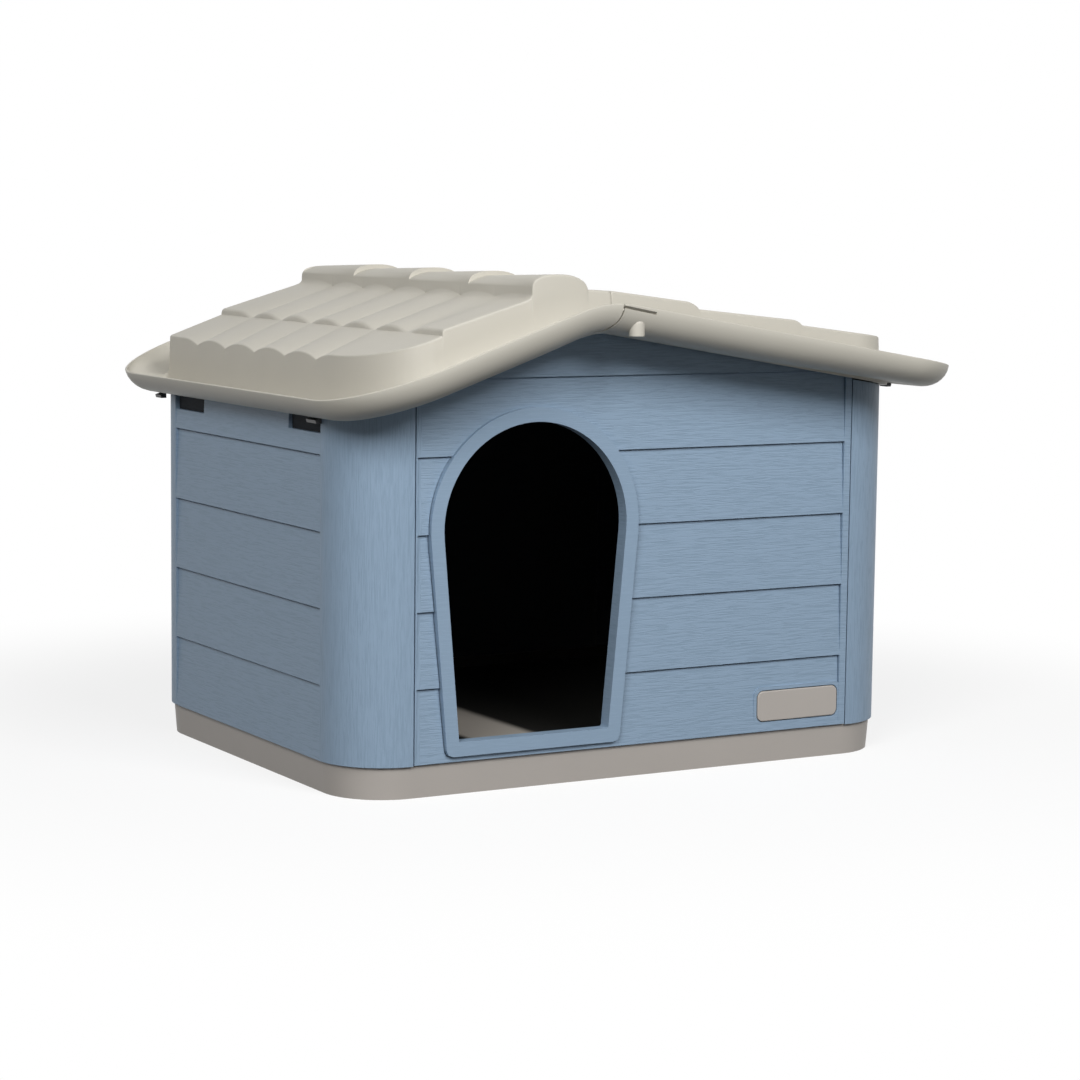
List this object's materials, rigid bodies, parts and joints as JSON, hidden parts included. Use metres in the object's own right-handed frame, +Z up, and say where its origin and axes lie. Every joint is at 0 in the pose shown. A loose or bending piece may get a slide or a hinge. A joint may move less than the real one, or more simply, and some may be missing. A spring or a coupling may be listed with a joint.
{
  "type": "dog house",
  "caption": "Small plastic dog house with lapped board walls, an arched doorway left of centre and a tiled roof whose two halves lift about the ridge.",
  "frame": {"origin": "on the floor, under the middle of the roof's plan", "axes": "+X to the right along the front, +Y from the doorway to the back, +Z up"},
  "size_m": [0.5824, 0.5138, 0.4108],
  "materials": {
    "wall_blue": "satin with moulded wood grain",
    "roof_grey": "satin",
    "base_grey": "satin",
    "plate_grey": "fine matt grain",
    "catch_dark": "satin",
    "rod_steel": "drawn wire"
  },
  "bodies": {
    "house": {"base_tray": "base_grey", "front_wall": "wall_blue", "rear_wall": "wall_blue", "left_side_wall": "wall_blue", "right_side_wall": "wall_blue", "name_plate": "plate_grey", "ridge_beam": "roof_grey", "left_hinge_rod": "rod_steel", "right_hinge_rod": "rod_steel", "corner_wedges": "catch_dark"},
    "left_half": {"left_roof": "roof_grey", "left_eave_clips": "catch_dark"},
    "right_half": {"right_roof": "roof_grey", "right_eave_clips": "catch_dark"}
  },
  "joints": [
    {"name": "left_roof_lift", "type": "hinge", "parent": "house", "child": "left_half", "pos_m": [-0.04405, 0, 0.3943], "axis": [0, 1, 0], "range_deg": [0, 75]},
    {"name": "right_roof_lift", "type": "hinge", "parent": "house", "child": "right_half", "pos_m": [-0.03755, 0, 0.3943], "axis": [0, -1, 0], "range_deg": [0, 75]}
  ]
}
